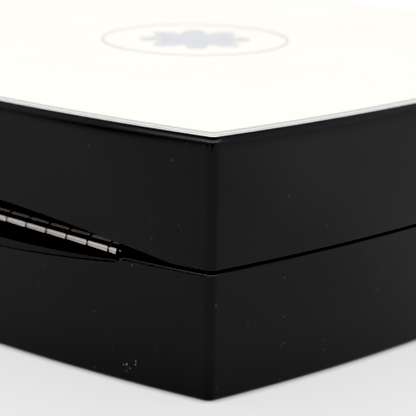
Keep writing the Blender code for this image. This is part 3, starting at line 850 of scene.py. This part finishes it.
def tray():
    """The moulded tray: round well with a soft lip, skirt round the cavity, notch and slot for the latch."""
    low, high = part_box("inner_tray")
    inset = HALF_WIDTH - high.x
    back = high.y
    well = 27.6 * MM
    floor_z = 6.2 * MM
    wall = 1.0 * MM
    skirt = inset + 0.98 * MM
    rings = [round_level(well - 0.3 * MM, floor_z), round_level(well, floor_z + 0.3 * MM)]
    rings += [round_level(well + flare, high.z - drop) for drop, flare in rounded_edge(0.5 * MM)]
    rings += reversed(brow_rings(high.z, 0.3 * MM, inset, CAVITY_CORNER, back=back))
    rings.append(level(inset, low.z, back, CAVITY_CORNER))
    rings += [level(skirt, z, back - 0.4 * MM, CAVITY_CORNER) for z in (low.z, high.z - wall)]
    rings += [round_level(well + wall, z) for z in (high.z - wall, floor_z - wall)]
    body = skin("tray_moulding", rings)
    notch_half, notch_back = 8.6 * MM, -28.75 * MM
    slot_half, slot_front, slot_back = 3.1 * MM, -33 * MM, -30.9 * MM
    notch = block("notch_cutter", (-notch_half, -40 * MM, MM), (notch_half, notch_back, high.z - 1.1 * MM))
    slot_low = (-slot_half, slot_front, high.z - 1.5 * MM)
    slot = block("slot_cutter", slot_low, (slot_half, slot_back, high.z + MM))
    carve(body, cuts=(notch, slot))
    dress(smooth(body), satin_black("tray_black"), "base", ("inner_tray",))


def pan():
    """The drawn pan with a rolled rim."""
    low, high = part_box("powder_pan")
    radius = high.x
    wall = 0.35 * MM
    profile = [(radius - inset, low.z + rise) for inset, rise in rounded_edge(0.6 * MM)]
    for step in range(2 * EDGE_STEPS + 1):
        angle = math.pi * step / (2 * EDGE_STEPS)
        profile.append((radius - wall / 2 * (1 - math.cos(angle)), high.z - wall / 2 * (1 - math.sin(angle))))
    profile += [(radius - wall, low.z + wall + 0.3 * MM), (radius - wall - 0.3 * MM, low.z + wall)]
    piece = turned("drawn_pan", profile, 240)
    dress(smooth(piece), brushed_aluminium("pan_aluminium"), "base", ("powder_pan",))


def cake():
    """The pressed cake: a raised bead at its edge and fine pressed rings."""
    low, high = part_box("pressed_powder")
    radius = high.x
    rounding = 0.4 * MM
    profile = [(radius - rounding, low.z), (radius, low.z + rounding), (radius, high.z - 0.45 * MM)]
    profile += [(radius - inset, high.z - drop) for drop, inset in rounded_edge(rounding)]
    rows = 90
    for row in range(1, rows):
        r = (radius - 0.6 * MM) * (1 - row / rows)
        ripple = 0.05 * MM * (math.sin(r / (0.45 * MM)) - 1)
        profile.append((r, high.z - 0.12 * MM + ripple))
    piece = turned("powder_cake", profile, 180)
    dress(smooth(piece, 60), powder("powder_cake"), "base", ("pressed_powder",))


def swell(source, voxel, pressure, cap):
    """Inflates a cushion with Blender's cloth, worked at ten times its size, and keeps the result."""
    bpy.context.view_layer.update()
    source.data.transform(Matrix.Scale(SIM_SCALE, 4))
    remesh = source.modifiers.new("remesh", "REMESH")
    remesh.mode = "VOXEL"
    remesh.voxel_size = voxel * SIM_SCALE
    settle(source)
    before = [vertex.co.copy() for vertex in source.data.vertices]
    cloth = source.modifiers.new("cloth", "CLOTH")
    for name, value in CLOTH.items():
        setattr(cloth.settings, name, value)
    cloth.settings.use_pressure = True
    cloth.settings.uniform_pressure_force = pressure
    cloth.settings.effector_weights.gravity = 0
    cloth.collision_settings.use_collision = False
    scene = bpy.context.scene
    for frame_number in range(1, 21):
        scene.frame_set(frame_number)
    settle(source)
    scene.frame_set(1)
    for vertex, start in zip(source.data.vertices, before):
        moved = vertex.co - start
        if moved.length > cap * SIM_SCALE:
            vertex.co = start + moved * (cap * SIM_SCALE / moved.length)
    source.data.transform(Matrix.Scale(1 / SIM_SCALE, 4))


def cushion():
    """The velour puff: a swollen disc, gathered in at the seam round its middle."""
    profile = []
    steps = 48
    for step in range(1, steps):
        angle = math.pi * step / steps
        radius = (PUFF_RADIUS - 0.5 * MM) * math.sin(angle) ** 0.6
        height = math.copysign(puff_height(radius + 0.4 * MM) - 0.35 * MM, math.cos(angle))
        profile.append((radius, PUFF_CENTRE_Z - height))
    piece = turned("velour_puff", profile, 144)
    swell(piece, 0.8 * MM, 4.0, 0.45 * MM)
    piece.modifiers.new("smooth", "SMOOTH").iterations = 4
    subdivide = piece.modifiers.new("subdivide", "SUBSURF")
    subdivide.levels = 1
    subdivide.render_levels = 1
    settle(piece)
    limit = PUFF_RADIUS - 0.05 * MM
    for vertex in piece.data.vertices:
        flat = math.hypot(vertex.co.x, vertex.co.y)
        if flat < 1e-6:
            continue
        angle = math.atan2(vertex.co.y, vertex.co.x)
        aside = (vertex.co.z - PUFF_CENTRE_Z) / SEAM_PULL
        at_rim = max(0.0, min(1.0, (flat - PUFF_RADIUS + 3 * MM) / (2 * MM)))
        gather = 0.5 + 0.5 * math.sin(GATHERS * angle + 2 * math.sin(9 * angle))
        pull = SEAM_PULL * math.exp(-aside * aside) + GATHER_PULL * gather * math.exp(-(aside / 4) ** 2)
        shrink = min(flat - at_rim * pull, limit) / flat
        vertex.co.x *= shrink
        vertex.co.y *= shrink
        vertex.co.z = min(vertex.co.z, PUFF_CENTRE_Z + PUFF_HALF)
        vertex.co.z = max(vertex.co.z, PUFF_CENTRE_Z - PUFF_HALF)
    dress(smooth(piece, 180), velour("puff_velour"), "base", ("puff",))


def ribbon():
    """The satin band over the puff: two hemmed edges, a little slack, its ends sewn into the seam."""
    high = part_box("puff_ribbon")[1]
    ceiling = 15.9 * MM
    thickness = 0.30 * MM
    rows = 160
    columns = 28
    rings = []
    for row in range(rows + 1):
        along = 2 * row / rows - 1
        y = (high.y + 0.6 * MM) * math.sin(along * math.pi / 2 * 0.96)
        base = PUFF_CENTRE_Z + puff_height(min(abs(y), PUFF_RADIUS)) + 0.17 * MM
        slack = 0.10 * MM * math.sin(9 * along) * (1 - along ** 4)
        top = []
        under = []
        for column in range(columns + 1):
            across = 2 * column / columns - 1
            x = high.x * across
            flute = 0.05 * MM * math.sin(2.3 * across + 5 * along) * (1 - along ** 4)
            hem = 0.06 * MM if abs(across) > 0.9 else 0.0
            middle = base + thickness / 2 + max(slack + flute, -0.1 * MM)
            top.append((x, y, min(middle + thickness / 2 + hem, ceiling)))
            under.append((x, y, middle - thickness / 2))
        rings.append(under + top[::-1])
    piece = smooth(skin("satin_ribbon", rings), 60)
    dress(piece, satin_ribbon("ribbon_satin"), "base", ("puff_ribbon",))


# Latch and lid lining

def button():
    """The push button: its face, a flange behind the wall, and two arms that carry the catch bar."""
    low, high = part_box("latch_button")
    stations = [(low.y + setback, inset) for setback, inset in reversed(rounded_edge(0.25 * MM))]
    body = face_bar("push_button", [*stations, (-34.05 * MM, 0.0)])
    flange = block("flange", (-7.2 * MM, -34.25 * MM, low.z), (7.2 * MM, -33.5 * MM, high.z))
    bar = block("bar", (-4.4 * MM, -31.2 * MM, 8.55 * MM), (4.4 * MM, high.y, 9.25 * MM))
    peg_profile = [(0.45 * MM, 0.0), (0.45 * MM, 0.9 * MM), (0.35 * MM, 1.0 * MM)]
    pieces = []
    for side in (-1, 1):
        arm_x = side * 4.0 * MM
        half = 0.6 * MM
        pieces.append(block("arm", (arm_x - half, -33.7 * MM, 8.5 * MM), (arm_x + half, -30.7 * MM, 9.3 * MM)))
        peg = turned("peg", peg_profile, 32)
        place = Matrix.Translation(Vector((side * 5.9, -33.7, 7.6)) * MM)
        peg.data.transform(place @ Matrix.Rotation(-math.pi / 2, 4, "X"))
        pieces.append(peg)
    carve(body, joins=(flange, merged("arms", pieces), bar))
    nickel = metal("button_nickel", (0.66, 0.63, 0.60), (0.80, 0.77, 0.74), 0.08, 0.18, (1.0, 0.1, 0.1))
    dress(smooth(body), nickel, "button", ("latch_button",))


def glass_frame():
    """The moulded surround that holds the mirror, sloped in to the glass."""
    low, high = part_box("mirror_frame")
    edge = HALF_WIDTH - high.x
    outer = [level(edge, high.z, high.y, CAVITY_CORNER)]
    for rise, inset in rounded_edge(0.2 * MM):
        outer.append(level(edge + inset, low.z + rise, high.y, CAVITY_CORNER))
    inner = []
    for step in range(EDGE_STEPS + 1):
        share = step / EDGE_STEPS
        z = low.z + share * (high.z - low.z)
        slope = 0.6 * MM * math.sin(share * math.pi / 2)
        inner.append(level(4.4 * MM + slope, z, 27.4 * MM - slope, (1.8 - 0.3 * share) * MM))
    piece = skin("mirror_surround", outer + inner, endless=True)
    dress(smooth(piece, 40), satin_black("frame_black"), "lid", ("mirror_frame",))


def latch_spring(side, steel):
    """A coil spring between the button and its stop, drawn at one length; in the compact it shortens as the
    button goes in.
    """
    node = f"latch_spring_{side}"
    low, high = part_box(node)
    wire = 0.15 * MM
    coil = (high.x - low.x) / 2 - wire
    centre_x = (low.x + high.x) / 2
    centre_z = (low.z + high.z) / 2
    turns = 5
    steps = turns * 32
    rings = []
    for step in range(steps + 1):
        angle = 2 * math.pi * turns * step / steps
        y = low.y + wire + (high.y - low.y - 2 * wire) * step / steps
        ring = []
        for bearing in full_turn(12):
            reach = coil + wire * math.cos(bearing)
            x = centre_x + reach * math.cos(angle)
            ring.append((x, y + wire * math.sin(bearing), centre_z + reach * math.sin(angle)))
        rings.append(ring)
    spring = smooth(skin(f"coil_spring_{side}", rings))
    dress(spring, steel, nodes=(node,))
    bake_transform(spring)


def carried_over():
    """The springs, and the nodes of the frame that keep their shape and take a material."""
    steel = metal("spring_steel", (0.42, 0.42, 0.43), (0.60, 0.60, 0.61), 0.18, 0.3, (0.2, 1.0, 0.2))
    bracket = metal("catch_steel", (0.50, 0.50, 0.51), (0.62, 0.62, 0.63), 0.22, 0.36, (1.0, 0.15, 1.0))
    plate = metal("plate_steel", (0.38, 0.38, 0.39), (0.52, 0.52, 0.52), 0.3, 0.5, (0.1, 1.0, 1.0))
    for side in ("left", "right"):
        latch_spring(side, steel)
    dress(NODES["lid_catch"], bracket)
    dress(NODES["weight_plate"], plate)
    dress(NODES["base_pad"], rubber("pad_rubber"))
    dress(NODES["mirror_tape"], foam("foam_tape"))
    dress(NODES["mirror"], silvered_glass("mirror_glass"))
    dress(NODES["powder_divider"], film("clear_film"))


# Stage, light and camera

YAW = math.radians(-47.5)
PITCH = math.radians(-15.16)
ROLL = math.radians(0.95)
CAMERA_PLACE = Vector((-5.3821, 5.7645, 2.3271)) * CASE_HEIGHT
FOCAL_LENGTH = 146.6
APERTURE = 90.0
WALL_GLOW = 0.85
CEILING_GLOW = 0.62
WINDOW_GLOW = 2.3
FILL_GLOW = 0.75
BACKDROP_GLOW = 1.1
TABLE_GLOW = 0.8
TABLE_GLOW_SHARE = 0.82
BLACK_POINT = 0.033
# Painted shade in reflections: black cards, seen only by gloss, for dim edges of the room beyond the paper:
# name, ends in mm and strength.
PAINTED_SHADE_EDGES = (
    ("back_edge", (-40.0, 133.0), (130.0, 107.9), 0.48),
    ("corner_edge", (-152.0, 60.0), (-40.0, 152.0), 0.4),
    ("side_edge", (-106.0, -92.0), (-124.0, 2.0), 0.15),
)


def along(tree, vector, direction):
    """How far a vector goes along a direction."""
    return vector_reckon(tree, "DOT_PRODUCT", vector, direction, result=1)


def floor():
    """Pale paper, mostly lit from within, with a painted contact shadow round the case and painted light that
    brightens it further out. Gloss sees it dimmer towards the back left corner and a little brighter at the
    front.
    """
    bpy.ops.mesh.primitive_plane_add(size=3.0, location=(0.0, 0.0, 0.0))
    plane = bpy.context.object
    plane.name = "floor"
    material, tree, shader = new_material("floor_paper")
    lit = 1 - TABLE_GLOW_SHARE
    glow = TABLE_GLOW_SHARE * TABLE_GLOW
    spot = object_place(tree)
    towards_corner = along(tree, spot, (-math.sqrt(0.5), math.sqrt(0.5), 0.0))
    corner_share = spread(tree, towards_corner, 0.80 * glow, glow, 28 * MM, 56 * MM)
    front_share = spread(tree, along(tree, spot, (0.0, 1.0, 0.0)), 1.09, 1.0, -20 * MM, 0.0)
    in_gloss = reckon(tree, "MULTIPLY", corner_share, front_share)
    distance = vector_reckon(tree, "LENGTH", spot, result=1)
    # Painted light: the floor's glow grows brighter from 100 to 260 mm out.
    painted_far_glow = spread(tree, distance, glow, glow + 0.35, 100 * MM, 260 * MM)
    # Painted contact shadow: ambient occlusion darkens the glow within 0.8 mm of the case.
    painted_contact_shadow = tree.nodes.new("ShaderNodeAmbientOcclusion")
    painted_contact_shadow.samples = 8
    feed(painted_contact_shadow, {"Distance": 0.8 * MM})
    straight = reckon(tree, "MULTIPLY", painted_far_glow, painted_contact_shadow.outputs["AO"])
    feed(shader, {
        "Base Color": tint(tree, noise(tree, 8.0), (0.79 * lit,) * 3, (0.81 * lit,) * 3),
        "Roughness": 0.9,
        "Specular IOR Level": 0.1,
        "Emission Color": (1.0, 1.0, 1.0, 1.0),
        "Emission Strength": by_ray(tree, "Is Glossy Ray", straight, in_gloss),
    })
    plane.data.materials.append(material)


def soft_light():
    """A square lamp high over the middle, which no gloss shows."""
    data = bpy.data.lights.new("top_light", "AREA")
    data.shape = "SQUARE"
    data.size = 0.5
    data.energy = 2.4
    lamp = bpy.data.objects.new("top_light", data)
    bpy.context.scene.collection.objects.link(lamp)
    lamp.location = (0.0, 0.0, 0.6)
    lamp.visible_glossy = False
    lamp.rotation_euler = Vector((0.0, 0.0, 0.6)).to_track_quat("Z", "Y").to_euler()


def reflected_studio(tree):
    """The studio as gloss sees it: white walls, a dimmer ceiling and a low bright window behind the camera."""
    bearing = tree.nodes.new("ShaderNodeTexCoord").outputs["Generated"]
    level_bearing = vector_reckon(tree, "NORMALIZE", vector_reckon(tree, "MULTIPLY", bearing, (1.0, 1.0, 0.0)))
    away = along(tree, level_bearing, (math.cos(YAW), math.sin(YAW), 0.0))
    height = along(tree, bearing, (0.0, 0.0, 1.0))
    behind = spread(tree, away, 1.0, 0.0, -0.55, -0.3)
    low = spread(tree, height, 1.0, 0.0, 0.24, 0.34)
    wall = spread(tree, height, WALL_GLOW, CEILING_GLOW, 0.35, 0.6)
    window = reckon(tree, "MULTIPLY", reckon(tree, "MULTIPLY", behind, low), WINDOW_GLOW - WALL_GLOW)
    return reckon(tree, "ADD", wall, window)


def dark_reflection_card(name, start, end, strength):
    """A black card that only nearby gloss sees, which puts a dim edge of the room beyond the paper into
    reflections as painted shade: a soft line over the floor from start to end, and a fainter wall standing up
    beyond it."""
    depth = 5 * MM
    beyond = 2.5 * MM
    height = 28 * MM
    start = Vector((*start, 0.0)) * MM
    end = Vector((*end, 0.0)) * MM
    half = (end - start).length / 2
    shape = bmesh.new()
    section = ((-depth, 0.0), (beyond, 0.0), (beyond, height))
    rows = [[shape.verts.new((x, y, z)) for x in (-half, half)] for y, z in section]
    for row, next_row in zip(rows, rows[1:]):
        shape.faces.new((row[0], row[1], next_row[1], next_row[0]))
    card = object_of(name, shape)
    card.location = (start + end) / 2 + Vector((0.0, 0.0, 0.3 * MM))
    card.rotation_euler.z = math.atan2(end.y - start.y, end.x - start.x)
    material, tree, shader = new_material(name)
    across = along(tree, object_place(tree), (0.0, 1.0, 0.0))
    rise = spread(tree, across, 0.0, strength, -depth, -0.3 * MM)
    fall = spread(tree, across, 1.0, 0.15, 0.5 * MM, beyond)
    ray_length = tree.nodes.new("ShaderNodeLightPath").outputs["Ray Length"]
    near = spread(tree, ray_length, 1.0, 0.0, 112 * MM, 124 * MM)
    feed(shader, {
        "Base Color": (0.0, 0.0, 0.0, 1.0),
        "Roughness": 1.0,
        "Specular IOR Level": 0.0,
        "Alpha": reckon(tree, "MULTIPLY", reckon(tree, "MULTIPLY", rise, fall), near),
    })
    dress(card, material)
    # Painted shade: only gloss rays see the black card, so it darkens reflections alone.
    card.visible_camera = False
    card.visible_diffuse = False
    card.visible_shadow = False


def lights():
    world = bpy.data.worlds.new("studio")
    bpy.context.scene.world = world
    world.use_nodes = True
    world.cycles.sampling_method = "NONE"
    tree = world.node_tree
    surroundings = by_ray(tree, "Is Glossy Ray", FILL_GLOW, reflected_studio(tree))
    feed(tree.nodes["Background"], {
        "Color": (1.0, 1.0, 1.0, 1.0),
        "Strength": by_ray(tree, "Is Camera Ray", surroundings, BACKDROP_GLOW),
    })
    soft_light()


def darkroom():
    """Develops the picture as a product photograph: plain tones with the blacks set a little deeper."""
    view = bpy.context.scene.view_settings
    view.view_transform = "Standard"
    view.look = "None"
    view.use_curve_mapping = True
    view.curve_mapping.black_level = (BLACK_POINT,) * 3
    view.curve_mapping.update()


def camera():
    """A close three-quarter view of the back left corner, rolled a little."""
    forward = Vector((math.cos(YAW) * math.cos(PITCH), math.sin(YAW) * math.cos(PITCH), math.sin(PITCH)))
    level_right = forward.cross(Vector((0.0, 0.0, 1.0))).normalized()
    level_up = level_right.cross(forward)
    right = level_right * math.cos(ROLL) + level_up * math.sin(ROLL)
    up = level_up * math.cos(ROLL) - level_right * math.sin(ROLL)
    data = bpy.data.cameras.new("camera")
    data.sensor_width = 36.0
    data.lens = FOCAL_LENGTH
    data.clip_start = 0.005
    data.clip_end = 20.0
    lens = bpy.data.objects.new("camera", data)
    bpy.context.scene.collection.objects.link(lens)
    turn = Matrix((right, up, -forward)).transposed().to_4x4()
    lens.matrix_world = Matrix.Translation(CAMERA_PLACE) @ turn
    focus = bpy.data.objects.new("focus", None)
    bpy.context.scene.collection.objects.link(focus)
    focus.location = (-SIDE_CHORD / 2, SIDE_CHORD / 2, 0.74 * CASE_HEIGHT)
    data.dof.use_dof = True
    data.dof.focus_object = focus
    data.dof.aperture_fstop = APERTURE
    bpy.context.scene.camera = lens


def main():
    base_case()
    lid_case()
    lid_plate()
    lid_trim()
    emblem()
    hinge()
    tray()
    pan()
    cake()
    cushion()
    ribbon()
    button()
    glass_frame()
    carried_over()
    floor()
    for edge in PAINTED_SHADE_EDGES:
        dark_reflection_card(*edge)
    lights()
    camera()
    darkroom()


main()
